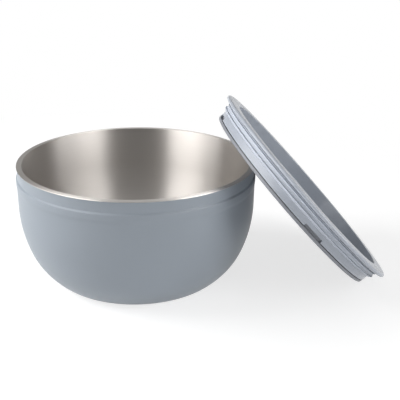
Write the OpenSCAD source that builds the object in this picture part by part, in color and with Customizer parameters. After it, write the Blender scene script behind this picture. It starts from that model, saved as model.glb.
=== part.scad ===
// Double-wall insulated bowl with a plug lid, standing on z = 0 with the bowl's axis on z.
// The lid is off: the edge of its base plate stands on the floor and the plate leans on the bowl's rim.

/* [Bowl] */
// Diameter across the bare steel rim
rim_d = 210; // [196:1:226]
// Height of the bowl from its foot to its rim
bowl_h = 106; // [96:1:124]
// Width of the flat steel rim
rim_w = 4.6; // [3.6:0.1:6]
// Sheet thickness of the steel shells
wall_t = 0.6; // [0.4:0.1:0.8]
// Diameter of the ring that the bowl stands on
foot_d = 140; // [126:1:154]
// How much the body's radius exceeds the rim's
body_swell = 0.4; // [0:0.1:2]
// Distance from the rim down to the widest part of the belly
shoulder_drop = 36.6; // [28:0.1:44]
// Radius of the outside corner at the foot
foot_corner_r = 14.5; // [10:0.5:18]

/* [Collar and bead] */
// How far the coated collar lies inside the rim's edge
collar_inset = 0.5; // [0:0.1:1.2]
// Distance from the rim down to the crest of the bead
bead_drop = 13.4; // [11:0.1:18]
// How far the bead stands out from the collar
bead_proud = 1.3; // [0.8:0.1:2.4]
// Height of the bead's upper flank
bead_top_h = 1.6; // [1.2:0.1:5]
// Height of the bead's lower flank
bead_low_h = 4; // [3:0.2:8]

/* [Inside of the bowl] */
// Height of the bowl's inner floor above the table
floor_z = 10; // [9:0.5:18]
// How far the flat inner floor ends short of the foot ring
floor_inset = 3; // [0:0.5:10]
// Radius of the corner between the inner floor and the wall
floor_corner_r = 16; // [10:0.5:20]

/* [Base] */
// Width of the foot ring round the recess that holds the base cover
foot_ring_w = 3.5; // [2:0.1:6]
// Depth of that recess
cup_h = 3; // [2:0.2:4]
// Width of the seam where the outer shell carries the sealing disc
seam_w = 8; // [4:0.5:14]
// Diameter of the dimple round the pumping port
dimple_d = 14; // [10:0.5:20]
// Depth of that dimple
dimple_h = 1.2; // [0.8:0.1:1.6]
// Diameter of the pumping port
port_d = 2; // [1.2:0.1:3]
// Diameter of the getter
getter_d = 10; // [6:0.5:16]
// Height of the getter
getter_h = 1.8; // [1:0.1:2.6]
// Distance of the getter from the axis
getter_x = 30; // [20:1:45]

/* [Lid] */
// Depth of the dish in the lid's top
dish_h = 13; // [8:0.5:14]
// How far the lid's edge stands over the bowl's rim
lid_over = 1.1; // [0:0.1:2]
// Width of the lid's flat top ring, outside the dish
ring_w = 13.7; // [12:0.1:16]
// Thickness of the top ring
ring_t = 2.2; // [1.6:0.1:3]
// Height of the lip at the edge of the ring
lip_h = 3.3; // [2.8:0.1:6]
// Thickness of that lip
lip_t = 2.4; // [2:0.1:3.4]
// Thickness of the dish's floor
dish_floor_t = 1.8; // [1.2:0.1:2.4]
// Thickness of the plug's skirt
skirt_t = 2.1; // [1.4:0.1:2.6]
// Distance from the lid's top down to the end of the skirt
skirt_h = 17.3; // [16.6:0.1:22]
// Thickness of the lid's base plate
plate_t = 2.6; // [1.6:0.1:3.4]
// Slot that shows between the skirt and the base plate
plate_slot = 0.6; // [0.3:0.1:1.2]
// Number of notches in the skirt's lower edge
notches = 4; // [2:1:6]
// Length of each notch
notch_l = 20.4; // [12:0.1:34]
// Height of each notch
notch_h = 2.4; // [1.4:0.1:3.2]

/* [Lid seal] */
// Distance from the lid's top down to the seal's groove
groove_z = 3.5; // [3.4:0.1:5.4]
// Height of the groove
groove_h = 7.8; // [6.8:0.1:9.4]
// Depth of the groove
groove_w = 2.7; // [1.6:0.1:3.2]
// How far the seal's band stands out from the plug's skirt
band_proud = 2; // [0.4:0.1:2.4]
// How much wider than the mouth each fin is, on the radius
seal_squeeze = 0.2; // [0.1:0.1:1]
// Thickness of a fin at its root
fin_t = 1.1; // [0.8:0.1:1.8]
// Thickness of a fin at its tip
fin_tip_t = 0.7; // [0.4:0.1:1]
// Distance between the two fins
fin_pitch = 3.8; // [2.6:0.1:5.2]

/* [Lid's place beside the bowl] */
// Tilt of the leaning lid from level
lean_tilt = 47; // [42:0.1:52]
// Direction that the lid leans away to, from the x axis
lean_turn = 4.5; // [-20:0.1:20]
// Sideways shift of the lid along its lowest edge
lean_shift = -9.7; // [-15:0.1:15]

/* [Hidden] */

// Number of sides of a round surface, and of steps in a long arc and in an edge's rounding
round_fn = 180;
arc_steps = 14;
edge_steps = 5;
// Least thickness of the foam under the dish
foam_low_t = 2.8;
// Clearances: plug to mouth, pressed cover, seal in its groove, foam, lid to rim
plug_fit = 3;
cover_fit = 0.2;
seal_fit = 0.05;
foam_fit = 0.3;
lean_gap = 0.3;
// Overrun of every cut
cut_over = 1;
// Share of the lip's height that each rounding of the lid's edge takes
lip_round_share = 0.48;
// Edge roundings: steel rim, dish rim, dish corner, plate, cover
rim_round = 0.25;
dish_rim_round = 0.8;
dish_corner_r = 1.2;
plate_round = 1.1;
cover_round = 0.3;
// Slope at the edges of the seal's band
band_round = 0.6;
// Flat on the crest of the bead
bead_flat = 4.2;
// Turn of the belly's surface, from level, at the end of its corner
low_turn = 40;
// Where the turn between its two upper arcs lies, in the range that keeps both arcs rounded outwards
high_turn_share = 0.51;
// Thickness of the rib that joins the base plate to the dish, and its clearance to the skirt
rib_t = 1.7;
rib_fit = 0.3;
// Turn of the first notch about the lid's axis, from the lid's lowest edge
notch_turn = -94;
// Getter's rim width and the depth of its filling
getter_rim = 1;
getter_sink = 0.5;
// Size of the solder in the dimple
solder_share = 0.72;
solder_t = 0.9;
port_fit = 0.1;

// Turn of an upright surface from level
upright = 360 / 4;

rim_r = rim_d / 2;
mouth_r = rim_r - rim_w;
collar_r = rim_r - collar_inset;
bead_r = collar_r + bead_proud;
body_r = rim_r + body_swell;
widest_z = bowl_h - shoulder_drop;
foot_r = foot_d / 2;
cup_r = foot_r - foot_ring_w;
inner_floor_r = foot_r - floor_inset;
seam_r = cup_r - seam_w;
disc_r = seam_r + seam_w * solder_share;
disc_z = cup_h + wall_t;

flange_r = rim_r + lid_over;
lip_round = lip_h * lip_round_share;
dish_r = flange_r - ring_w;
plug_r = mouth_r - plug_fit;
band_r = plug_r + band_proud;
fin_r = mouth_r + seal_squeeze;
groove_r = plug_r - groove_w;
skirt_in_r = plug_r - skirt_t;
dish_under_z = dish_h + dish_floor_t;
// The plate lies under the skirt's slot, and leaves room for the foam under the dish
plate_top_z = max(skirt_h + plate_slot, dish_under_z + foam_fit + foam_low_t);
lid_h = plate_top_z + plate_t;
rib_r = skirt_in_r - rib_fit;

// Lid's place: the lower of its lip and its plate touches z = 0, and the plate stands lean_gap off the rim
lip_reach = (flange_r - lip_round) * sin(lean_tilt) + (lip_h - lip_round) * cos(lean_tilt) + lip_round;
plate_reach = (plug_r - plate_round) * sin(lean_tilt) + (lid_h - plate_round) * cos(lean_tilt)
              + plate_round;
lid_z = max(lip_reach, plate_reach);
rim_reach = (rim_r - rim_round) * sin(lean_tilt) + (bowl_h - rim_round) * cos(lean_tilt) + rim_round;
lid_out = (rim_reach + lean_gap + lid_h - lid_z * cos(lean_tilt)) / sin(lean_tilt);

// Points of an arc about c with radius r, from angle a to angle b
function arc(c, r, a, b, n = arc_steps) =
    [for (i = [0:n]) let (t = a + (b - a) * i / n) [c[0] + r * cos(t), c[1] + r * sin(t)]];

// Smooth step from 0 to 1
function ease(t) = (1 - cos(180 * t)) / 2;

// The list in the other order
function turned(v) = [for (i = [len(v) - 1:-1:0]) v[i]];

// Turn between the two upper arcs of a belly, and their radii. The belly rises from a flat of radius
// flat_r at height z0, through a corner of radius corner_r, to stand upright at wide_r and height z1
function belly_arcs(flat_r, z0, corner_r, wide_r, z1) =
    let (across = wide_r - flat_r - corner_r * sin(low_turn),
         up = z1 - z0 - corner_r * (1 - cos(low_turn)),
         chord = atan2(up, across),
         least = max(low_turn, 2 * chord - upright),
         most = min(upright, 2 * chord - low_turn),
         mid_turn = least + (most - least) * high_turn_share,
         s = sin(mid_turn) - sin(low_turn),
         c = cos(low_turn) - cos(mid_turn),
         d = s * cos(mid_turn) - (1 - sin(mid_turn)) * c)
    [mid_turn, (across * cos(mid_turn) - up * (1 - sin(mid_turn))) / d, (s * up - c * across) / d];

// Outline of a belly from its flat up to its widest point, moved inwards by skin
function belly(flat_r, z0, corner_r, wide_r, z1, skin = 0) =
    let (arcs = belly_arcs(flat_r, z0, corner_r, wide_r, z1),
         mid_turn = arcs[0],
         low_r = arcs[1],
         high_r = arcs[2],
         c1 = [flat_r, z0 + corner_r],
         c2 = c1 + (corner_r - low_r) * [sin(low_turn), -cos(low_turn)],
         c3 = c2 + (low_r - high_r) * [sin(mid_turn), -cos(mid_turn)])
    concat(arc(c1, corner_r - skin, -upright, low_turn - upright),
           arc(c2, low_r - skin, low_turn - upright, mid_turn - upright),
           arc(c3, high_r - skin, mid_turn - upright, 0));

// Outline of the bead, upwards, on the outer shell's outside
function bead_outline() =
    let (crest_z = bowl_h - bead_drop)
    concat([for (i = [0:arc_steps]) let (t = i / arc_steps)
               [body_r + (bead_r - body_r) * ease(t), crest_z - bead_flat / 2 - bead_low_h * (1 - t)]],
           [for (i = [0:arc_steps]) let (t = i / arc_steps)
               [bead_r - bead_proud * ease(t), crest_z + bead_flat / 2 + bead_top_h * t]]);

function shifted(v, dr) = [for (p = v) [p[0] - dr, p[1]]];

module spun(points) {
    rotate_extrude($fn = round_fn) polygon(points);
}

// Deep-drawn liner: brushed inside, with the flat rim that closes the double wall
module inner_shell() {
    under_rim = bowl_h - wall_t;
    inside = belly(inner_floor_r, floor_z, floor_corner_r, mouth_r, widest_z);
    outside = belly(inner_floor_r, floor_z, floor_corner_r, mouth_r, widest_z, -wall_t);
    color("gainsboro")
    spun(concat(
        [[0, floor_z]],
        inside,
        arc([mouth_r + rim_round, bowl_h - rim_round], rim_round, 180, 90, edge_steps),
        arc([rim_r - rim_round, bowl_h - rim_round], rim_round, 90, 0, edge_steps),
        [[rim_r, under_rim], [mouth_r + wall_t, under_rim]],
        turned(outside),
        [[0, floor_z - wall_t]]));
}

// Coated outer shell with its collar, bead, belly, foot ring and the seam under it
module outer_shell() {
    outside = concat(belly(foot_r, 0, foot_corner_r, body_r, widest_z), bead_outline());
    inside = concat(belly(foot_r, 0, foot_corner_r, body_r, widest_z, wall_t),
                    shifted(bead_outline(), wall_t));
    top_z = bowl_h - wall_t;
    color("lightsteelblue")
    spun(concat(
        [[seam_r, cup_h], [cup_r, cup_h], [cup_r, 0]],
        outside,
        [[collar_r, top_z], [collar_r - wall_t, top_z]],
        turned(inside),
        [[cup_r + wall_t, wall_t], [cup_r + wall_t, disc_z], [seam_r, disc_z]]));
}

// Disc welded over the seam, with the dimple and the pumping port
module sealing_disc() {
    dimple_r = dimple_d / 2;
    flank = dimple_h + wall_t;
    color("silver")
    spun([[port_d / 2, disc_z + dimple_h], [dimple_r - dimple_h, disc_z + dimple_h],
          [dimple_r, disc_z], [disc_r, disc_z], [disc_r, disc_z + wall_t],
          [dimple_r + wall_t / 2, disc_z + wall_t], [dimple_r + wall_t / 2 - dimple_h, disc_z + flank],
          [port_d / 2, disc_z + flank]]);
}

// Solder that closes the pumping port
module port_seal() {
    solder_r = (dimple_d / 2 - dimple_h) * solder_share;
    plug_z = disc_z + dimple_h;
    color("dimgray")
    spun([[0, plug_z - solder_t], [solder_r * solder_share, plug_z - solder_t],
          [solder_r, plug_z - solder_t / 2], [solder_r, plug_z], [port_d / 2 - port_fit, plug_z],
          [port_d / 2 - port_fit, plug_z + wall_t], [0, plug_z + wall_t]]);
}

// Getter that keeps the vacuum, a filled ring fixed on the sealing disc
module getter() {
    color("slategray")
    translate([getter_x, 0, disc_z + wall_t])
    difference() {
        cylinder(d = getter_d, h = getter_h, $fn = round_fn);
        translate([0, 0, getter_h - getter_sink])
        cylinder(d = getter_d - 2 * getter_rim, h = getter_sink + cut_over, $fn = round_fn);
    }
}

// Flat cap pressed into the recess under the bowl
module base_cover() {
    cover_r = cup_r - cover_fit;
    color("silver")
    spun(concat(
        [[0, 0]],
        arc([cover_r - cover_round, cover_round], cover_round, -90, 0, edge_steps),
        [[cover_r, cup_h], [cover_r - wall_t, cup_h], [cover_r - wall_t, wall_t], [0, wall_t]]));
}

// Places the lid's own frame, whose origin is the centre of its top and whose z leaves the dish
module at_lid() {
    rotate([0, 0, lean_turn])
    translate([lid_out, lean_shift, lid_z])
    rotate([0, lean_tilt, 0])
    children();
}

// Moulded lid: dish, top ring, lip, seal groove and plug skirt in one piece
module lid_top() {
    color("lightsteelblue")
    at_lid()
    difference() {
        spun(concat(
            [[0, -dish_h]],
            arc([dish_r - dish_corner_r, dish_corner_r - dish_h], dish_corner_r, -90, 0, edge_steps),
            arc([dish_r + dish_rim_round, -dish_rim_round], dish_rim_round, 180, 90, edge_steps),
            arc([flange_r - lip_round, -lip_round], lip_round, 90, 0, edge_steps),
            arc([flange_r - lip_round, lip_round - lip_h], lip_round, 0, -90, edge_steps),
            [[flange_r - lip_t, -lip_h], [flange_r - lip_t, -ring_t], [plug_r, -ring_t],
             [plug_r, -groove_z], [groove_r, -groove_z], [groove_r, -groove_z - groove_h],
             [plug_r, -groove_z - groove_h], [plug_r, -skirt_h], [skirt_in_r, -skirt_h],
             [skirt_in_r, -dish_under_z], [0, -dish_under_z]]));
        for (i = [0:notches - 1])
            rotate([0, 0, notch_turn + i * 360 / notches])
            translate([skirt_in_r - rib_fit, -notch_l / 2, -skirt_h - cut_over])
            cube([skirt_t + rib_fit + cut_over, notch_l, notch_h + cut_over]);
    }
}

// Soft seal: a band in the groove with two fins that press on the mouth's wall
module lid_seal() {
    seal_in = groove_r + seal_fit;
    top_z = -groove_z - seal_fit;
    low_z = -groove_z - groove_h + seal_fit;
    mid_z = (top_z + low_z) / 2;
    // Outline of one fin about height z, downwards
    function fin(z) = concat([[band_r, z + fin_t / 2]],
                             arc([fin_r - fin_tip_t / 2, z], fin_tip_t / 2, upright, -upright, edge_steps),
                             [[band_r, z - fin_t / 2]]);
    color("lightgray")
    at_lid()
    spun(concat([[seal_in, top_z], [plug_r, top_z], [band_r, top_z - band_round]],
                fin(mid_z + fin_pitch / 2), fin(mid_z - fin_pitch / 2),
                [[band_r, low_z + band_round], [plug_r, low_z], [seal_in, low_z]]));
}

// Closed-cell foam disc between the dish and the base plate
module lid_insulation() {
    color("whitesmoke")
    at_lid()
    translate([0, 0, -plate_top_z])
    cylinder(r = rib_r - rib_t - foam_fit, h = plate_top_z - dish_under_z - foam_fit, $fn = round_fn);
}

// Base plate with the rib that joins it to the dish
module lid_base() {
    color("lightslategray")
    at_lid()
    spun(concat(
        [[0, -lid_h]],
        arc([plug_r - plate_round, plate_round - lid_h], plate_round, -90, 0, edge_steps),
        [[plug_r, -plate_top_z], [rib_r, -plate_top_z], [rib_r, -dish_under_z],
         [rib_r - rib_t, -dish_under_z], [rib_r - rib_t, -plate_top_z], [0, -plate_top_z]]));
}

inner_shell();
outer_shell();
sealing_disc();
port_seal();
getter();
base_cover();
lid_top();
lid_seal();
lid_insulation();
lid_base();
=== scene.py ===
"""Looks of a double-wall steel bowl with its plug lid leaning on the rim."""

import math

import bmesh
import bpy
from bpy.props import FloatProperty, FloatVectorProperty, IntProperty, PointerProperty
from mathutils import Matrix, Vector


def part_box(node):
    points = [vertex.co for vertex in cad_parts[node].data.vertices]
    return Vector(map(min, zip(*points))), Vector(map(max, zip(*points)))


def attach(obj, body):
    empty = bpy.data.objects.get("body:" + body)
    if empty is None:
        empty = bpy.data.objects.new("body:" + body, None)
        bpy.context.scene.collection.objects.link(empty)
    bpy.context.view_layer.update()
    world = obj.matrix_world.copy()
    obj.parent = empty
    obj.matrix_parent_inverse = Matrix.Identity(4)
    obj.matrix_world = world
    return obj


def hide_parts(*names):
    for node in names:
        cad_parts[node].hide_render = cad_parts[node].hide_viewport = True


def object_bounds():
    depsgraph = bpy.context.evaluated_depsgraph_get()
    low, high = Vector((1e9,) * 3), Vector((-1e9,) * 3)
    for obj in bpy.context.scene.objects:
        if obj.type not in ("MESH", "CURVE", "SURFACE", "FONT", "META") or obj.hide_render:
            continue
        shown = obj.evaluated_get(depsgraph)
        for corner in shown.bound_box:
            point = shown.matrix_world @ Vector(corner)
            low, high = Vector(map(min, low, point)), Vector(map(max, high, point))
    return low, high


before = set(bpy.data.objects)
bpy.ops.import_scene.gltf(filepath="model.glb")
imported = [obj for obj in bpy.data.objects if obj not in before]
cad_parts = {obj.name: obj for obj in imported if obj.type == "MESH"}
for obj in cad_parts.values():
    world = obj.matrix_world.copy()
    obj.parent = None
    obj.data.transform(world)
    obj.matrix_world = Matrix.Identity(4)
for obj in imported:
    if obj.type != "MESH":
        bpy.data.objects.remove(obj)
CAD_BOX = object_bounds()

bl_info = {
    "name": "Insulated bowl with plug lid",
    "version": (1, 0, 0),
    "blender": (4, 5, 0),
    "location": "View3D > Sidebar > Bowl",
    "description": "Builds the finished bowl, its lid and the studio round the packed frame",
    "category": "Object",
}

LINER_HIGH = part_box("inner_shell")[1]
BODY_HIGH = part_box("outer_shell")[1]
COVER_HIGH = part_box("base_cover")[1]
FOAM_LOW, FOAM_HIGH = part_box("lid_insulation")

# Steps of the round shapes, the angle past which an edge is sharp, and how near two points become one
SPIN_STEPS = 288
NOTCH_STEPS = 360
LONG_ARC_STEPS = 24
EDGE_STEPS = 6
PANEL_STEPS = 24
SHARP_ANGLE = math.radians(34)
MERGE_DISTANCE = 1e-6

# Belly: degrees where its lowest arc ends, and how far between its least and greatest possible turn
# the middle arc ends, as a share
BELLY_LOW_TURN = 40.0
BELLY_TURN_SHARE = 0.51

# Middle of a noise, and a Mix node's colour sockets: its factor, both colours and its result
NOISE_MIDDLE = 0.5
MIX_FACTOR, MIX_LOW, MIX_HIGH, MIX_RESULT = 0, 6, 7, 2

# Camera and studio: sensor in millimetres, plain white, the point that the lamps look at, and the
# radius and tint of the panels
SENSOR_WIDTH = 36.0
WHITE = (1.0, 1.0, 1.0, 1.0)
LAMP_AIM = (0.05, 0.0, 0.05)
PANEL_RADIUS = 1.8
PANEL_TINT = (1.0, 0.985, 0.97)

# Lamps: name, the setting that holds its power, place, and width and height
LAMPS = (
    ("key_lamp", "key", (-1.363, 0.0, 0.801), (0.9, 0.9)),
    ("fill_lamp", "fill", (1.395, -0.627, 0.649), (0.6, 0.9)),
    ("front_lamp", "front", (0.05, -1.598, 0.134), (0.5, 0.3)),
)

# Panels that the steel mirrors: name, ends in degrees, lower and upper edge, and brightness
PANELS = (
    ("dark_front_panel", -32.0, 44.0, 0.05, 2.6, 0.08),
    ("bright_left_panel", -72.0, -32.0, 0.05, 2.3, 4.9),
    ("pale_left_panel", -97.0, -72.0, 0.05, 2.6, 3.4),
    ("grey_left_panel", -150.0, -97.0, 0.05, 2.6, 0.42),
    ("bright_right_panel", 44.0, 75.0, 0.05, 2.6, 6.3),
    ("pale_right_panel", 75.0, 106.0, 0.05, 2.6, 4.1),
    ("dark_right_panel", 106.0, 150.0, 0.05, 2.6, 0.28),
    ("grey_back_panel", 150.0, 210.0, 0.3, 2.6, 0.5),
)


def length(name, description, default):
    """A size in metres that a user can change."""
    return FloatProperty(name=name, description=description, default=default, min=0.0, precision=4,
                         subtype="DISTANCE", unit="LENGTH")


def angle(name, description, degrees):
    """A turn that a user can change."""
    return FloatProperty(name=name, description=description, default=math.radians(degrees),
                         subtype="ANGLE", unit="ROTATION")


def amount(name, description, default):
    """A plain number that a user can change."""
    return FloatProperty(name=name, description=description, default=default, min=0.0)


def colour(name, description, default):
    """A linear colour that a user can change."""
    return FloatVectorProperty(name=name, description=description, default=default, size=3,
                               min=0.0, max=1.0, subtype="COLOR")


class BowlSizes(bpy.types.PropertyGroup):
    """Sizes of the bowl's shells and base."""

    rim_radius: length("Rim radius", "Radius of the bare steel rim", LINER_HIGH.x)
    height: length("Height", "Height of the rim above the table", LINER_HIGH.z)
    rim_width: length("Rim width", "Width of the flat steel rim", 0.0046)
    wall: length("Sheet", "Thickness of the steel sheet", 0.0006)
    rim_round: length("Rim rounding", "Rounding of the rim's edges", 0.00025)
    body_swell: length("Body swell", "How far the body stands out past the rim", 0.0004)
    shoulder_drop: length("Shoulder drop", "From the rim down to the widest belly", 0.0366)
    foot_radius: length("Foot radius", "Radius of the ring that the bowl stands on", 0.07)
    foot_corner: length("Foot corner", "Radius of the outside corner at the foot", 0.0145)
    collar_inset: length("Collar inset", "How far the coating ends inside the rim's edge", 0.0005)
    bead_radius: length("Bead radius", "Radius of the bead's crest", BODY_HIGH.x)
    bead_drop: length("Bead drop", "From the rim down to the bead's crest", 0.0134)
    bead_top: length("Bead top", "Height of the bead's upper flank", 0.0016)
    bead_low: length("Bead foot", "Height of the bead's lower flank", 0.004)
    bead_flat: length("Bead flat", "Flat on the bead's crest", 0.0042)
    floor_height: length("Floor height", "Height of the inner floor", 0.01)
    floor_inset: length("Floor inset", "How far the inner floor ends short of the foot", 0.003)
    floor_corner: length("Floor corner", "Radius between floor and wall", 0.016)
    cup_radius: length("Recess radius", "Radius of the recess under the bowl", 0.0665)
    cup_depth: length("Recess depth", "Depth of the recess under the bowl", COVER_HIGH.z)
    seam_width: length("Seam width", "Width of the seam that carries the sealing disc", 0.008)
    cover_radius: length("Cover radius", "Radius of the base cover", COVER_HIGH.x)
    cover_round: length("Cover rounding", "Rounding of the base cover's edge", 0.0003)


class LidSizes(bpy.types.PropertyGroup):
    """Sizes of the lid's pieces and how it leans."""

    tilt: angle("Tilt", "Tilt of the leaning lid from level", 47.0)
    turn: angle("Turn", "Direction that the lid leans away to", 4.5)
    flange_radius: length("Flange radius", "Radius of the lid's edge", 0.1061)
    ring_width: length("Ring width", "Width of the flat ring outside the dish", 0.0137)
    ring_thickness: length("Ring thickness", "Thickness of that ring", 0.0022)
    lip_height: length("Lip height", "Height of the lip at the lid's edge", 0.0033)
    lip_thickness: length("Lip thickness", "Thickness of that lip", 0.0024)
    lip_round: length("Lip rounding", "Rounding of the lid's edge, above and below", 0.001584)
    dish_depth: length("Dish depth", "Depth of the dish", 0.013)
    dish_floor: length("Dish floor", "Thickness of the dish's floor", 0.0018)
    dish_corner: length("Dish corner", "Radius between the dish's floor and wall", 0.0012)
    dish_round: length("Dish rim rounding", "Rounding of the dish's rim", 0.0008)
    plug_radius: length("Plug radius", "Radius of the plug's skirt", 0.0974)
    skirt_thickness: length("Skirt thickness", "Thickness of the skirt", 0.0021)
    skirt_height: length("Skirt height", "From the lid's top to the skirt's end", 0.0173)
    skirt_round: length("Skirt rounding", "Rounding of the skirt's lower edges", 0.0003)
    notches: IntProperty(name="Notches", description="Number of notches in the skirt", default=4, min=0)
    notch_turn: angle("First notch", "Place of the first notch round the lid", -94.0)
    notch_length: length("Notch length", "Length of each notch", 0.0204)
    notch_height: length("Notch height", "Height of each notch", 0.0024)
    plate_thickness: length("Plate thickness", "Thickness of the base plate", 0.0026)
    plate_slot: length("Plate slot", "Slot between skirt and base plate", 0.0006)
    plate_round: length("Plate rounding", "Rounding of the base plate's edge", 0.0011)
    rib_thickness: length("Rib thickness", "Thickness of the rib on the plate", 0.0017)
    rib_clearance: length("Rib clearance", "Gap between that rib and the skirt", 0.0003)
    foam_clearance: length("Foam clearance", "Gap round the foam disc", 0.0003)
    groove_drop: length("Groove drop", "From the lid's top to the seal's groove", 0.0035)
    groove_height: length("Groove height", "Height of the seal's groove", 0.0078)
    groove_depth: length("Groove depth", "Depth of the seal's groove", 0.0027)
    seal_clearance: length("Seal clearance", "Gap between the seal and its groove", 0.00005)
    band_proud: length("Band step", "How far the seal's band stands out from the skirt", 0.002)
    band_slope: length("Band slope", "Slope at the edges of the seal's band", 0.0006)
    fin_radius: length("Fin radius", "Free radius of the seal's fins", 0.1006)
    fin_root: length("Fin root", "Thickness of a fin at its root", 0.0011)
    fin_tip: length("Fin tip", "Thickness of a fin at its tip", 0.0007)
    fin_pitch: length("Fin pitch", "Distance between the fins", 0.0038)


class FinishColours(bpy.types.PropertyGroup):
    """Colours of the finishes, in linear light."""

    steel: colour("Steel", "Brushed steel of the liner", (0.605, 0.582, 0.56))
    cover: colour("Cover steel", "Brushed steel of the base cover", (0.62, 0.61, 0.6))
    coat: colour("Powder coat", "Coating of the body", (0.2585, 0.2915, 0.33))
    lid: colour("Lid plastic", "Moulded plastic of the lid", (0.39, 0.42, 0.471))
    seal: colour("Seal silicone", "Soft seal on the plug", (0.495, 0.53, 0.594))
    plate: colour("Plate plastic", "Plastic of the lid's base plate", (0.225, 0.235, 0.26))
    foam: colour("Foam", "Foam in the lid", (0.82, 0.82, 0.8))
    sheet: colour("Plain sheet", "Unbrushed steel sheet", (0.58, 0.57, 0.56))
    solder: colour("Solder glass", "Glass over the pumping port", (0.03, 0.03, 0.035))
    getter: colour("Getter", "Filling of the getter", (0.2, 0.2, 0.21))


class StudioSettings(bpy.types.PropertyGroup):
    """Camera, lamps and floor of the studio."""

    target: FloatVectorProperty(name="Target", description="Point at the picture's centre", size=3,
                                default=(0.05663, 0.0, 0.06715), subtype="TRANSLATION", unit="LENGTH")
    distance: length("Camera distance", "From the target to the camera", 0.6)
    elevation: angle("Camera elevation", "Height of the camera above the horizon", 21.583)
    roll: angle("Camera roll", "Turn of the camera round its own view", 1.008)
    lens: amount("Lens", "Focal length in millimetres", 59.01)
    ambient: amount("Ambient light", "Strength of the light from all sides", 0.25)
    key: amount("Key power", "Power of the lamp on the left in watts", 30.4)
    fill: amount("Fill power", "Power of the lamp on the right in watts", 9.6)
    front: amount("Front power", "Power of the low lamp in front in watts", 4.8)
    floor_size: length("Floor size", "Side of the square floor", 12.0)
    shadow_near: length("Shadow fades from", "Distance from the bowl's axis where it starts to fade", 0.25)
    shadow_far: length("Shadow fades to", "Distance from the bowl's axis where it is gone", 0.6)
    floor_grey: amount("Floor grey", "How much light the floor throws back on the object", 0.8)
    shadow_grey: amount("Shadow grey", "How much light the floor in the picture throws back", 0.38)
    shadow_lift: amount("Shadow lift", "Glow of the floor in the picture, where a shadow falls too", 0.72)


def arc(centre, radius, start, end, steps=EDGE_STEPS):
    """Points of an arc in a profile, between two angles in degrees."""
    turns = [math.radians(start + (end - start) * i / steps) for i in range(steps + 1)]
    return [(centre[0] + radius * math.cos(t), centre[1] + radius * math.sin(t)) for t in turns]


def ease(share):
    """Smooth step from 0 to 1."""
    return (1 - math.cos(math.pi * share)) / 2


def belly(flat_radius, bottom, corner, wide_radius, top, skin=0.0):
    """Outline of a belly that rises from a flat, through three arcs that join smoothly, to stand
    upright at its widest, moved inwards by skin."""
    low = math.radians(BELLY_LOW_TURN)
    across = wide_radius - flat_radius - corner * math.sin(low)
    up = top - bottom - corner * (1 - math.cos(low))
    chord = math.atan2(up, across)
    least = max(low, 2 * chord - math.pi / 2)
    most = min(math.pi / 2, 2 * chord - low)
    high = least + (most - least) * BELLY_TURN_SHARE
    run = math.sin(high) - math.sin(low)
    rise = math.cos(low) - math.cos(high)
    share = run * math.cos(high) - (1 - math.sin(high)) * rise
    low_radius = (across * math.cos(high) - up * (1 - math.sin(high))) / share
    high_radius = (run * up - rise * across) / share
    first = Vector((flat_radius, bottom + corner))
    second = first + (corner - low_radius) * Vector((math.sin(low), -math.cos(low)))
    third = second + (low_radius - high_radius) * Vector((math.sin(high), -math.cos(high)))
    low_end, high_end = BELLY_LOW_TURN - 90, math.degrees(high) - 90
    return (arc(first, corner - skin, -90, low_end, LONG_ARC_STEPS)
            + arc(second, low_radius - skin, low_end, high_end, LONG_ARC_STEPS)[1:]
            + arc(third, high_radius - skin, high_end, 0, LONG_ARC_STEPS)[1:])


def bead(sizes, skin=0.0):
    """Outline of the bead and the collar's foot, upwards, moved inwards by skin."""
    crest = sizes.height - sizes.bead_drop
    body_radius = sizes.rim_radius + sizes.body_swell
    collar_radius = sizes.rim_radius - sizes.collar_inset
    shares = [i / LONG_ARC_STEPS for i in range(LONG_ARC_STEPS + 1)]
    lower = [(body_radius + (sizes.bead_radius - body_radius) * ease(t),
              crest - sizes.bead_flat / 2 - sizes.bead_low * (1 - t)) for t in shares]
    upper = [(sizes.bead_radius + (collar_radius - sizes.bead_radius) * ease(t),
              crest + sizes.bead_flat / 2 + sizes.bead_top * t) for t in shares]
    return [(r - skin, z) for r, z in lower + upper]


def lid_matrix(sizes):
    """Places the lid's own frame: its origin is the centre of its top, and its z leaves the dish."""
    turned = Matrix.Rotation(sizes.turn, 4, "Z") @ Matrix.Rotation(sizes.tilt, 4, "Y")
    foam_top = sizes.dish_depth + sizes.dish_floor + sizes.foam_clearance
    foam_low = sizes.skirt_height + sizes.plate_slot
    depth = (foam_top + foam_low) / 2
    origin = (FOAM_LOW + FOAM_HIGH) / 2 + turned @ Vector((0.0, 0.0, depth))
    return Matrix.Translation(origin) @ turned


def spun_mesh(points, steps=SPIN_STEPS):
    """A closed profile of radius and height, spun round the z axis into a closed shell."""
    mesh = bmesh.new()
    verts = [mesh.verts.new((r, 0.0, z)) for r, z in points]
    edges = [mesh.edges.new((a, b)) for a, b in zip(verts, verts[1:] + verts[:1])]
    bmesh.ops.spin(mesh, geom=verts + edges, cent=(0.0, 0.0, 0.0), axis=(0.0, 0.0, 1.0),
                   angle=math.tau, steps=steps, use_merge=True)
    bmesh.ops.remove_doubles(mesh, verts=mesh.verts, dist=MERGE_DISTANCE)
    bmesh.ops.dissolve_degenerate(mesh, dist=MERGE_DISTANCE, edges=mesh.edges)
    bmesh.ops.recalc_face_normals(mesh, faces=mesh.faces)
    return mesh


def linked_object(name, data):
    """An object that holds the data, linked to the scene."""
    made = bpy.data.objects.new(name, data)
    bpy.context.scene.collection.objects.link(made)
    return made


def mesh_object(name, mesh, material):
    """An object made from a bmesh, with its material."""
    data = bpy.data.meshes.new(name)
    mesh.to_mesh(data)
    mesh.free()
    data.materials.append(material)
    return linked_object(name, data)


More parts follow.
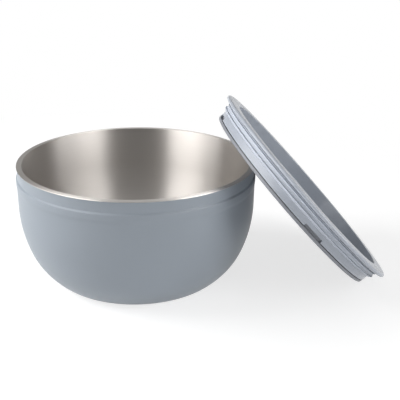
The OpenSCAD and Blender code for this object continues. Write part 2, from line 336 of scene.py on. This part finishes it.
def finished(name, mesh, material, body, node, matrix=None):
    """Makes the piece's object from its mesh, with its place in the mesh, and ties it to the frame."""
    if matrix is not None:
        bmesh.ops.transform(mesh, matrix=matrix, verts=mesh.verts)
    piece = mesh_object(name, mesh, material)
    piece.data.shade_smooth()
    piece.data.set_sharp_from_angle(angle=SHARP_ANGLE)
    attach(piece, body)
    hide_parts(node)


def coat_node(node, material):
    """Gives its finish to a CAD node that keeps its own mesh."""
    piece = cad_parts[node]
    for place in piece.material_slots:
        place.material = material


class Link:
    """A shader socket that takes part in Python sums. Each operator adds its Math node."""

    def __init__(self, shader, socket):
        self.shader = shader
        self.socket = socket

    def __add__(self, other):
        return self.shader.maths("ADD", self, other)

    def __radd__(self, other):
        return self.shader.maths("ADD", other, self)

    def __sub__(self, other):
        return self.shader.maths("SUBTRACT", self, other)

    def __rsub__(self, other):
        return self.shader.maths("SUBTRACT", other, self)

    def __mul__(self, other):
        return self.shader.maths("MULTIPLY", self, other)

    def __rmul__(self, other):
        return self.shader.maths("MULTIPLY", other, self)

    def __truediv__(self, other):
        return self.shader.maths("DIVIDE", self, other)

    def __rtruediv__(self, other):
        return self.shader.maths("DIVIDE", other, self)

    def __pow__(self, other):
        return self.shader.maths("POWER", self, other)

    def __rpow__(self, other):
        return self.shader.maths("POWER", other, self)


class Shader:
    """A material's node tree, with one method that adds any node."""

    def __init__(self, tree):
        self.tree = tree
        self.tree.nodes.clear()

    def node(self, kind, settings=None, sockets=None, output=0):
        """Adds a node, with its settings first and then its sockets' values or links."""
        node = self.tree.nodes.new(kind)
        for key, value in (settings or {}).items():
            setattr(node, key, value)
        for key, value in (sockets or {}).items():
            if isinstance(value, Link):
                self.tree.links.new(value.socket, node.inputs[key])
            else:
                node.inputs[key].default_value = value
        return Link(self, node.outputs[output]) if node.outputs else None

    def maths(self, operation, *values):
        """Adds a Math node."""
        return self.node("ShaderNodeMath", {"operation": operation}, dict(enumerate(values)))

    def place(self, matrix=None):
        """Object coordinates, turned into the frame that matrix places."""
        coordinates = self.node("ShaderNodeTexCoord", output="Object")
        if matrix is None:
            return coordinates
        back = matrix.inverted()
        return self.node("ShaderNodeMapping", {"vector_type": "POINT"},
                         {"Vector": coordinates, "Location": back.to_translation(),
                          "Rotation": back.to_euler()})

    def noise(self, vector, scale=1.0, detail=2.0, roughness=0.5):
        """A noise between 0 and 1."""
        return self.node("ShaderNodeTexNoise", None,
                         {"Vector": vector, "Scale": scale, "Detail": detail, "Roughness": roughness})

    def round_lines(self, vector, along, across):
        """Coordinates in which a noise becomes lines that run round the z axis."""
        x, y, z = [self.node("ShaderNodeSeparateXYZ", None, {0: vector}, axis) for axis in "XYZ"]
        radius = (x * x + y * y) ** 0.5 + MERGE_DISTANCE
        return self.node("ShaderNodeCombineXYZ", None,
                         {0: x / radius * along, 1: y / radius * along, 2: (radius + z) * across})

    def speckled(self, pattern, tint, spread):
        """A tint that a pattern makes darker and lighter by a share of itself."""
        low, high = shaded(tint, -spread), shaded(tint, spread)
        return self.node("ShaderNodeMix", {"data_type": "RGBA"},
                         {MIX_FACTOR: pattern, MIX_LOW: low, MIX_HIGH: high}, MIX_RESULT)

    def bump(self, height, distance, strength=0.5):
        """A bumped normal."""
        return self.node("ShaderNodeBump", None,
                         {"Height": height, "Distance": distance, "Strength": strength})

    def emission(self, tint, strength=1.0):
        """A surface that glows."""
        return self.node("ShaderNodeEmission", None, {"Color": tint, "Strength": strength})

    def chalk(self, grey):
        """A surface that throws a share of its light back to all sides."""
        return self.node("ShaderNodeBsdfDiffuse", None, {"Color": (grey, grey, grey, 1.0)})

    def end(self, surface, kind="ShaderNodeOutputMaterial"):
        """Ends the tree in a surface."""
        self.node(kind, None, {"Surface": surface})

    def principled(self, sockets):
        """Ends the tree in one Principled surface."""
        self.end(self.node("ShaderNodeBsdfPrincipled", None, sockets))


def new_shader(name):
    """An empty material and its shader."""
    material = bpy.data.materials.new(name)
    material.use_nodes = True
    return material, Shader(material.node_tree)


def shaded(tint, share):
    """A colour made darker or lighter by a share of itself, as a socket takes it."""
    return (*[min(1.0, part * (1 + share)) for part in tint], 1.0)


def swing(pattern, reach):
    """A pattern's rise and fall about zero."""
    return (pattern - NOISE_MIDDLE) * reach


def brushed_steel(name, tint, roughness, stretch):
    """Steel brushed round the z axis: fine scratches, a few deeper ones, and soft wiping marks."""
    material, shader = new_shader(name)
    place = shader.place()
    fine = shader.noise(shader.round_lines(place, along=6.0, across=5200.0), detail=3.0, roughness=0.6)
    coarse = shader.noise(shader.round_lines(place, along=2.5, across=1100.0))
    wipe = shader.noise(place, scale=22.0)
    grain = fine * 0.6 + coarse * 0.4
    shader.principled({
        "Base Color": shader.speckled(grain, tint, spread=0.07),
        "Metallic": 1.0,
        "Roughness": swing(grain, reach=0.16) + swing(wipe, reach=0.05) + roughness,
        "Anisotropic": stretch,
        "Anisotropic Rotation": 0.25,
        "Normal": shader.bump(grain, distance=0.000012),
    })
    return material


def powder_coat(name, tint, roughness):
    """Dry powder coat: a fine pebbled skin over a faint longer wave."""
    material, shader = new_shader(name)
    place = shader.place()
    pebble = shader.noise(place, scale=2600.0, roughness=0.55)
    wave = shader.noise(place, scale=420.0, detail=1.0)
    patch = shader.noise(place, scale=30.0)
    shader.principled({
        "Base Color": shader.speckled(pebble * 0.5 + patch * 0.5, tint, spread=0.05),
        "Roughness": swing(pebble, reach=0.14) + swing(patch, reach=0.06) + roughness,
        "IOR": 1.5,
        "Normal": shader.bump(pebble * 0.7 + wave * 0.3, distance=0.00006),
    })
    return material


def moulded_plastic(name, tint, matrix, roughness, grain_size, grain_height):
    """Moulded plastic with a fine grain and faint flow marks out from its centre."""
    material, shader = new_shader(name)
    place = shader.place(matrix)
    grain = shader.noise(place, scale=1.0 / grain_size)
    flow = shader.noise(shader.round_lines(place, along=5.0, across=60.0))
    shader.principled({
        "Base Color": shader.speckled(flow, tint, spread=0.015),
        "Roughness": swing(grain, reach=0.1) + swing(flow, reach=0.04) + roughness,
        "IOR": 1.47,
        "Normal": shader.bump(grain, distance=grain_height),
    })
    return material


def soft_silicone(name, tint, matrix, roughness):
    """Silicone with a dusty, slightly uneven skin."""
    material, shader = new_shader(name)
    place = shader.place(matrix)
    skin = shader.noise(place, scale=900.0)
    dust = shader.noise(place, scale=70.0, detail=3.0, roughness=0.6)
    shader.principled({
        "Base Color": shader.speckled(dust, tint, spread=0.05),
        "Roughness": swing(dust, reach=0.16) + roughness,
        "IOR": 1.41,
        "Sheen Weight": 0.15,
        "Normal": shader.bump(skin, distance=0.00003),
    })
    return material


def plain_finish(name, tint, metallic, roughness, grain_size, grain_height):
    """A plain finish for the pieces that are closed in."""
    material, shader = new_shader(name)
    grain = shader.noise(shader.place(), scale=1.0 / grain_size, detail=3.0, roughness=0.55)
    shader.principled({
        "Base Color": shader.speckled(grain, tint, spread=0.12),
        "Metallic": metallic,
        "Roughness": swing(grain, reach=0.2) + roughness,
        "Normal": shader.bump(grain, distance=grain_height, strength=0.6),
    })
    return material


class BuildLiner(bpy.types.Operator):
    """Build the brushed inner shell with the flat steel rim"""

    bl_idname = "bowl.build_liner"
    bl_label = "Inner shell"

    def execute(self, context):
        sizes = context.scene.bowl_sizes
        colours = context.scene.bowl_colours
        mouth = sizes.rim_radius - sizes.rim_width
        widest = sizes.height - sizes.shoulder_drop
        flat = sizes.foot_radius - sizes.floor_inset
        rounding = sizes.rim_round
        under_rim = sizes.height - sizes.wall
        inside = belly(flat, sizes.floor_height, sizes.floor_corner, mouth, widest)
        outside = belly(flat, sizes.floor_height, sizes.floor_corner, mouth, widest, -sizes.wall)
        points = [(0.0, sizes.floor_height)]
        points += inside
        points += arc((mouth + rounding, sizes.height - rounding), rounding, 180, 90)
        points += arc((sizes.rim_radius - rounding, sizes.height - rounding), rounding, 90, 0)
        points += [(sizes.rim_radius, under_rim), (mouth + sizes.wall, under_rim)]
        points += outside[::-1]
        points += [(0.0, sizes.floor_height - sizes.wall)]
        steel = brushed_steel("brushed_liner", colours.steel, roughness=0.46, stretch=0.95)
        finished("bowl_liner", spun_mesh(points), steel, "bowl", "inner_shell")
        return {"FINISHED"}


class BuildBody(bpy.types.Operator):
    """Build the coated outer shell with its bead, foot ring and seam"""

    bl_idname = "bowl.build_body"
    bl_label = "Outer shell"

    def execute(self, context):
        sizes = context.scene.bowl_sizes
        colours = context.scene.bowl_colours
        wide = sizes.rim_radius + sizes.body_swell
        widest = sizes.height - sizes.shoulder_drop
        collar = sizes.rim_radius - sizes.collar_inset
        top = sizes.height - sizes.wall
        disc = sizes.cup_depth + sizes.wall
        seam = sizes.cup_radius - sizes.seam_width
        outside = belly(sizes.foot_radius, 0.0, sizes.foot_corner, wide, widest) + bead(sizes)
        inside = (belly(sizes.foot_radius, 0.0, sizes.foot_corner, wide, widest, sizes.wall)
                  + bead(sizes, sizes.wall))
        points = [(seam, sizes.cup_depth), (sizes.cup_radius, sizes.cup_depth), (sizes.cup_radius, 0.0)]
        points += outside
        points += [(collar, top), (collar - sizes.wall, top)]
        points += inside[::-1]
        points += [(sizes.cup_radius + sizes.wall, sizes.wall), (sizes.cup_radius + sizes.wall, disc),
                   (seam, disc)]
        coat = powder_coat("powder_coat", colours.coat, roughness=0.43)
        finished("bowl_body", spun_mesh(points), coat, "bowl", "outer_shell")
        return {"FINISHED"}


class BuildBase(bpy.types.Operator):
    """Build the base cover and finish the pieces that it hides"""

    bl_idname = "bowl.build_base"
    bl_label = "Base"

    def execute(self, context):
        sizes = context.scene.bowl_sizes
        colours = context.scene.bowl_colours
        radius = sizes.cover_radius
        points = [(0.0, 0.0)]
        points += arc((radius - sizes.cover_round, sizes.cover_round), sizes.cover_round, -90, 0)
        points += [(radius, sizes.cup_depth), (radius - sizes.wall, sizes.cup_depth),
                   (radius - sizes.wall, sizes.wall), (0.0, sizes.wall)]
        steel = brushed_steel("brushed_cover", colours.cover, roughness=0.32, stretch=0.7)
        finished("bowl_base_cover", spun_mesh(points), steel, "bowl", "base_cover")
        sheet = plain_finish("plain_steel", colours.sheet, metallic=1.0, roughness=0.4,
                             grain_size=0.0012, grain_height=0.00001)
        coat_node("sealing_disc", sheet)
        glass = plain_finish("solder_glass", colours.solder, metallic=0.0, roughness=0.2,
                             grain_size=0.0008, grain_height=0.00002)
        coat_node("port_seal", glass)
        filling = plain_finish("getter_metal", colours.getter, metallic=0.6, roughness=0.7,
                               grain_size=0.0003, grain_height=0.00004)
        coat_node("getter", filling)
        return {"FINISHED"}


def steps_apart(point, turn):
    """Steps of the notched mesh between a point and a turn, the short way round."""
    return abs(math.remainder(math.atan2(point.y, point.x) - turn, math.tau)) * NOTCH_STEPS / math.tau


def cut_notches(mesh, sizes):
    """Cuts the notches out of the skirt's lower edge and closes the cuts."""
    half_turn = math.asin(sizes.notch_length / 2 / sizes.plug_radius)
    half = round(half_turn * NOTCH_STEPS / math.tau)
    ceiling = sizes.notch_height - sizes.skirt_height
    inner = sizes.plug_radius - sizes.skirt_thickness - sizes.rib_clearance
    for i in range(sizes.notches):
        middle = sizes.notch_turn + i * math.tau / sizes.notches
        centres = [(face, face.calc_center_median()) for face in mesh.faces]
        gone = [face for face, centre in centres
                if centre.z < ceiling and centre.xy.length > inner and steps_apart(centre, middle) < half]
        bmesh.ops.delete(mesh, geom=gone, context="FACES")
        roof = [edge for edge in mesh.edges if edge.is_boundary
                and all(abs(vert.co.z - ceiling) < MERGE_DISTANCE for vert in edge.verts)]
        bmesh.ops.bridge_loops(mesh, edges=roof)
        bmesh.ops.holes_fill(mesh, edges=[edge for edge in mesh.edges if edge.is_boundary], sides=0)
    bmesh.ops.recalc_face_normals(mesh, faces=mesh.faces)


class BuildLidTop(bpy.types.Operator):
    """Build the lid's moulding with its dish, ring, lip, groove and notched skirt"""

    bl_idname = "bowl.build_lid_top"
    bl_label = "Lid top"

    def execute(self, context):
        sizes = context.scene.lid_sizes
        colours = context.scene.bowl_colours
        dish = sizes.flange_radius - sizes.ring_width
        groove = sizes.plug_radius - sizes.groove_depth
        groove_low = -sizes.groove_drop - sizes.groove_height
        skirt_in = sizes.plug_radius - sizes.skirt_thickness
        under = -sizes.dish_depth - sizes.dish_floor
        low = -sizes.skirt_height
        edge = sizes.skirt_round
        lip_in = sizes.flange_radius - sizes.lip_thickness
        points = [(0.0, -sizes.dish_depth)]
        points += arc((dish - sizes.dish_corner, sizes.dish_corner - sizes.dish_depth),
                      sizes.dish_corner, -90, 0)
        points += arc((dish + sizes.dish_round, -sizes.dish_round), sizes.dish_round, 180, 90)
        points += arc((sizes.flange_radius - sizes.lip_round, -sizes.lip_round), sizes.lip_round, 90, 0)
        points += arc((sizes.flange_radius - sizes.lip_round, sizes.lip_round - sizes.lip_height),
                      sizes.lip_round, 0, -90)
        points += [(lip_in, -sizes.lip_height), (lip_in, -sizes.ring_thickness),
                   (sizes.plug_radius, -sizes.ring_thickness), (sizes.plug_radius, -sizes.groove_drop),
                   (groove, -sizes.groove_drop), (groove, groove_low), (sizes.plug_radius, groove_low),
                   (sizes.plug_radius, low + sizes.notch_height)]
        points += arc((sizes.plug_radius - edge, low + edge), edge, 0, -90)
        points += arc((skirt_in + edge, low + edge), edge, -90, -180)
        points += [(skirt_in, low + sizes.notch_height), (skirt_in, under), (0.0, under)]
        mesh = spun_mesh(points, NOTCH_STEPS)
        cut_notches(mesh, sizes)
        matrix = lid_matrix(sizes)
        plastic = moulded_plastic("lid_plastic", colours.lid, matrix, roughness=0.28,
                                  grain_size=0.0006, grain_height=0.00001)
        finished("lid_moulding", mesh, plastic, "lid", "lid_top", matrix)
        return {"FINISHED"}


class BuildLidSeal(bpy.types.Operator):
    """Build the soft seal with its two fins"""

    bl_idname = "bowl.build_lid_seal"
    bl_label = "Lid seal"

    def execute(self, context):
        sizes = context.scene.lid_sizes
        colours = context.scene.bowl_colours
        inside = sizes.plug_radius - sizes.groove_depth + sizes.seal_clearance
        top = -sizes.groove_drop - sizes.seal_clearance
        low = -sizes.groove_drop - sizes.groove_height + sizes.seal_clearance
        middle = (top + low) / 2
        band = sizes.plug_radius + sizes.band_proud
        points = [(inside, top), (sizes.plug_radius, top), (band, top - sizes.band_slope)]
        for height in (middle + sizes.fin_pitch / 2, middle - sizes.fin_pitch / 2):
            tip = sizes.fin_radius - sizes.fin_tip / 2
            points += [(band, height + sizes.fin_root / 2)]
            points += arc((tip, height), sizes.fin_tip / 2, 90, -90)
            points += [(band, height - sizes.fin_root / 2)]
        points += [(band, low + sizes.band_slope), (sizes.plug_radius, low), (inside, low)]
        matrix = lid_matrix(sizes)
        silicone = soft_silicone("seal_silicone", colours.seal, matrix, roughness=0.5)
        finished("lid_seal_ring", spun_mesh(points), silicone, "lid", "lid_seal", matrix)
        return {"FINISHED"}


class BuildLidBase(bpy.types.Operator):
    """Build the lid's base plate with its rib, and finish the foam above it"""

    bl_idname = "bowl.build_lid_base"
    bl_label = "Lid base"

    def execute(self, context):
        sizes = context.scene.lid_sizes
        colours = context.scene.bowl_colours
        rib = sizes.plug_radius - sizes.skirt_thickness - sizes.rib_clearance
        rib_in = rib - sizes.rib_thickness
        plate_top = -sizes.skirt_height - sizes.plate_slot
        plate_low = plate_top - sizes.plate_thickness
        under = -sizes.dish_depth - sizes.dish_floor
        points = [(0.0, plate_low)]
        points += arc((sizes.plug_radius - sizes.plate_round, plate_low + sizes.plate_round),
                      sizes.plate_round, -90, 0)
        points += [(sizes.plug_radius, plate_top), (rib, plate_top), (rib, under), (rib_in, under),
                   (rib_in, plate_top), (0.0, plate_top)]
        matrix = lid_matrix(sizes)
        plastic = moulded_plastic("plate_plastic", colours.plate, matrix, roughness=0.48,
                                  grain_size=0.0005, grain_height=0.00003)
        finished("lid_plate", spun_mesh(points), plastic, "lid", "lid_base", matrix)
        foam = plain_finish("lid_foam", colours.foam, metallic=0.0, roughness=0.9,
                            grain_size=0.0009, grain_height=0.0001)
        coat_node("lid_insulation", foam)
        return {"FINISHED"}


def add_camera(studio):
    """The camera at the photograph's viewing angle."""
    data = bpy.data.cameras.new("studio_camera")
    data.sensor_width = SENSOR_WIDTH
    data.lens = studio.lens
    camera = linked_object("studio_camera", data)
    back =Vector((0.0, -math.cos(studio.elevation), math.sin(studio.elevation)))
    camera.matrix_world = (Matrix.Translation(Vector(studio.target) + back * studio.distance)
                           @ Matrix.Rotation(math.pi / 2 - studio.elevation, 4, "X")
                           @ Matrix.Rotation(studio.roll, 4, "Z"))
    bpy.context.scene.camera = camera


def add_lamp(name, place, size, power):
    """A soft lamp that looks at the object, and that gloss doesn't mirror."""
    data = bpy.data.lights.new(name, "AREA")
    data.shape = "RECTANGLE"
    data.size, data.size_y = size
    data.energy = power
    lamp = linked_object(name, data)
    lamp.visible_glossy = False
    facing = (Vector(LAMP_AIM) - Vector(place)).to_track_quat("-Z", "Y")
    lamp.matrix_world = Matrix.Translation(place) @ facing.to_matrix().to_4x4()


def add_panel(name, start, end, low, high, tone):
    """A curved panel round the table, which only reflections see. Its ends are angles in degrees from
    the camera's side, to the viewer's right."""
    material, shader = new_shader(name)
    shader.end(shader.emission((*[tone * part for part in PANEL_TINT], 1.0)))
    mesh = bmesh.new()
    turn = math.radians(start)
    foot = (PANEL_RADIUS * math.sin(turn), -PANEL_RADIUS * math.cos(turn))
    verts = [mesh.verts.new((*foot, height)) for height in (low, high)]
    edge = mesh.edges.new(verts)
    bmesh.ops.spin(mesh, geom=[*verts, edge], cent=(0.0, 0.0, 0.0), axis=(0.0, 0.0, 1.0),
                   angle=math.radians(end - start), steps=PANEL_STEPS)
    panel = mesh_object(name, mesh, material)
    panel.visible_camera = False
    panel.visible_diffuse = False
    panel.visible_transmission = False
    panel.visible_shadow = False


def seen_as_background(shader):
    """1 for rays from the camera, off gloss or through glass, which see the white background."""
    camera = shader.node("ShaderNodeLightPath", output="Is Camera Ray")
    glossy = shader.node("ShaderNodeLightPath", output="Is Glossy Ray")
    through = shader.node("ShaderNodeLightPath", output="Is Transmission Ray")
    return shader.maths("MAXIMUM", shader.maths("MAXIMUM", camera, glossy), through)


def add_world(studio):
    """A white world whose light on the object is the ambient strength."""
    world = bpy.data.worlds.new("studio_world")
    bpy.context.scene.world = world
    world.use_nodes = True
    shader = Shader(world.node_tree)
    seen = seen_as_background(shader)
    strength = seen * (1.0 - studio.ambient) + studio.ambient
    background = shader.node("ShaderNodeBackground", None, {"Color": WHITE, "Strength": strength})
    shader.end(background, "ShaderNodeOutputWorld")


def floor_paint(studio):
    """White paint that keeps a shadow near the object and is plain white in the picture further off."""
    material, shader = new_shader("studio_floor")
    distance = shader.node("ShaderNodeVectorMath", {"operation": "LENGTH"}, {0: shader.place()}, "Value")
    near = shader.node("ShaderNodeMapRange", {"interpolation_type": "SMOOTHSTEP"},
                       {"Value": distance, "From Min": studio.shadow_near, "From Max": studio.shadow_far,
                        "To Min": 1.0, "To Max": 0.0})
    shade = shader.chalk(studio.shadow_grey)
    lift = shader.emission(WHITE, studio.shadow_lift)
    lifted = shader.node("ShaderNodeAddShader", None, {0: shade, 1: lift})
    pictured = shader.node("ShaderNodeMixShader", None, {0: near, 1: shader.emission(WHITE), 2: lifted})
    seen = seen_as_background(shader)
    paint = shader.chalk(studio.floor_grey)
    shader.end(shader.node("ShaderNodeMixShader", None, {0: seen, 1: paint, 2: pictured}))
    return material


def add_floor(studio):
    """A white floor under the bowl."""
    mesh = bmesh.new()
    bmesh.ops.create_grid(mesh, x_segments=1, y_segments=1, size=studio.floor_size / 2)
    floor = mesh_object("studio_floor", mesh, floor_paint(studio))
    floor.location = (0.0, 0.0, CAD_BOX[0].z)


class BuildStudio(bpy.types.Operator):
    """Build the camera, the lamps, the floor and the white world"""

    bl_idname = "bowl.build_studio"
    bl_label = "Studio"

    def execute(self, context):
        studio = context.scene.bowl_studio
        context.scene.view_settings.view_transform = "Standard"
        add_camera(studio)
        add_world(studio)
        add_floor(studio)
        for name, power, place, size in LAMPS:
            add_lamp(name, place, size, getattr(studio, power))
        for panel in PANELS:
            add_panel(*panel)
        return {"FINISHED"}


GROUPS = {
    "bowl_sizes": BowlSizes,
    "lid_sizes": LidSizes,
    "bowl_colours": FinishColours,
    "bowl_studio": StudioSettings,
}
OPERATORS = (BuildStudio, BuildLiner, BuildBody, BuildBase, BuildLidTop, BuildLidSeal, BuildLidBase)


class BowlPanel(bpy.types.Panel):
    """Lists the operators that build the pieces and the studio"""

    bl_idname = "BOWL_PT_builders"
    bl_label = "Insulated bowl"
    bl_space_type = "VIEW_3D"
    bl_region_type = "UI"
    bl_category = "Bowl"

    def draw(self, context):
        for operator in OPERATORS:
            self.layout.operator(operator.bl_idname)
        for name, group in GROUPS.items():
            box = self.layout.box()
            for field in group.__annotations__:
                box.prop(getattr(context.scene, name), field)


def register():
    """Registers the groups, the operators and the panel."""
    for group in GROUPS.values():
        bpy.utils.register_class(group)
    for name, group in GROUPS.items():
        setattr(bpy.types.Scene, name, PointerProperty(type=group))
    for operator in OPERATORS:
        bpy.utils.register_class(operator)
    bpy.utils.register_class(BowlPanel)


def unregister():
    """Takes all of it out again."""
    bpy.utils.unregister_class(BowlPanel)
    for operator in reversed(OPERATORS):
        bpy.utils.unregister_class(operator)
    for name in GROUPS:
        delattr(bpy.types.Scene, name)
    for group in reversed(GROUPS.values()):
        bpy.utils.unregister_class(group)


def main():
    """Builds the studio and every piece."""
    register()
    bpy.ops.bowl.build_studio()
    bpy.ops.bowl.build_liner()
    bpy.ops.bowl.build_body()
    bpy.ops.bowl.build_base()
    bpy.ops.bowl.build_lid_top()
    bpy.ops.bowl.build_lid_seal()
    bpy.ops.bowl.build_lid_base()


if __name__ == "__main__":
    main()
